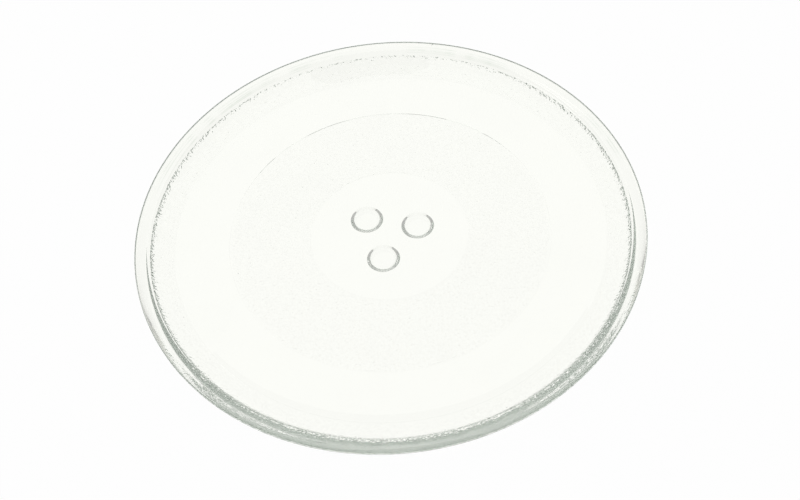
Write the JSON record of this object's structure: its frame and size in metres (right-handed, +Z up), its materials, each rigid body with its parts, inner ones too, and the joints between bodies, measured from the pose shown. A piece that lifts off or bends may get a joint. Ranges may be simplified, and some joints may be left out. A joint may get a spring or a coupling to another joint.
{
  "type": "microwave turntable plate",
  "caption": "Round shallow dish of clear pressed glass with a raised rim, a smooth roller track and round drive lugs underneath, which carries food as it turns in a microwave oven.",
  "frame": {"origin": "on the plate's axis, in the plane that the ends of the drive lugs stand on", "axes": "+Z up along the plate's axis, out of the dish; one drive lug lies towards -Y, and the mould mark on the rim towards +Y"},
  "size_m": [0.245, 0.245, 0.012],
  "materials": {
    "clear_glass": "fire-polished, with stippled rings on the underside"
  },
  "bodies": {
    "root": {"turntable_plate": "clear_glass"}
  },
  "joints": []
}
